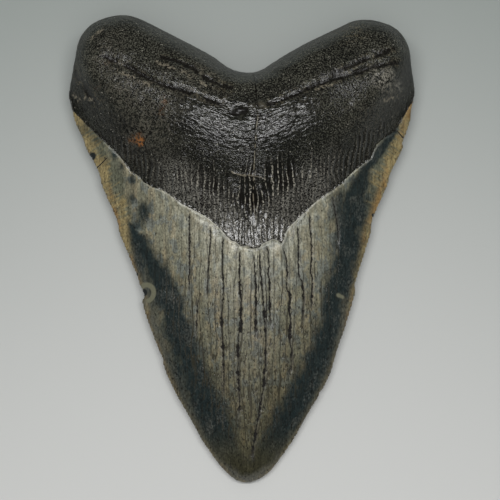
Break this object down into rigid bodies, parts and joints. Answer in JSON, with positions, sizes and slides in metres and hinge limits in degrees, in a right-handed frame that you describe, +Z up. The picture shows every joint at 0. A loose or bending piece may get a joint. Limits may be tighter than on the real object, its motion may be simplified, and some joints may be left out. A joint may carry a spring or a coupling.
{
  "type": "megalodon tooth",
  "caption": "Fossil shark tooth with a two-lobed root and a broad triangular crown, lying with its tongue side up.",
  "frame": {"origin": "centre of the bounding box at its base, on the surface the tooth lies on", "axes": "+Y along the tooth from the tip of the crown to the root, +X to the right lobe seen from above, +Z up out of the tongue side"},
  "size_m": [0.11, 0.1466, 0.0284],
  "materials": {
    "fossil": "mineralised tooth: satin grey-brown enamel with dark blue-grey margins, and near-black leathery root"
  },
  "bodies": {
    "root": {"tooth": "fossil"}
  },
  "joints": []
}
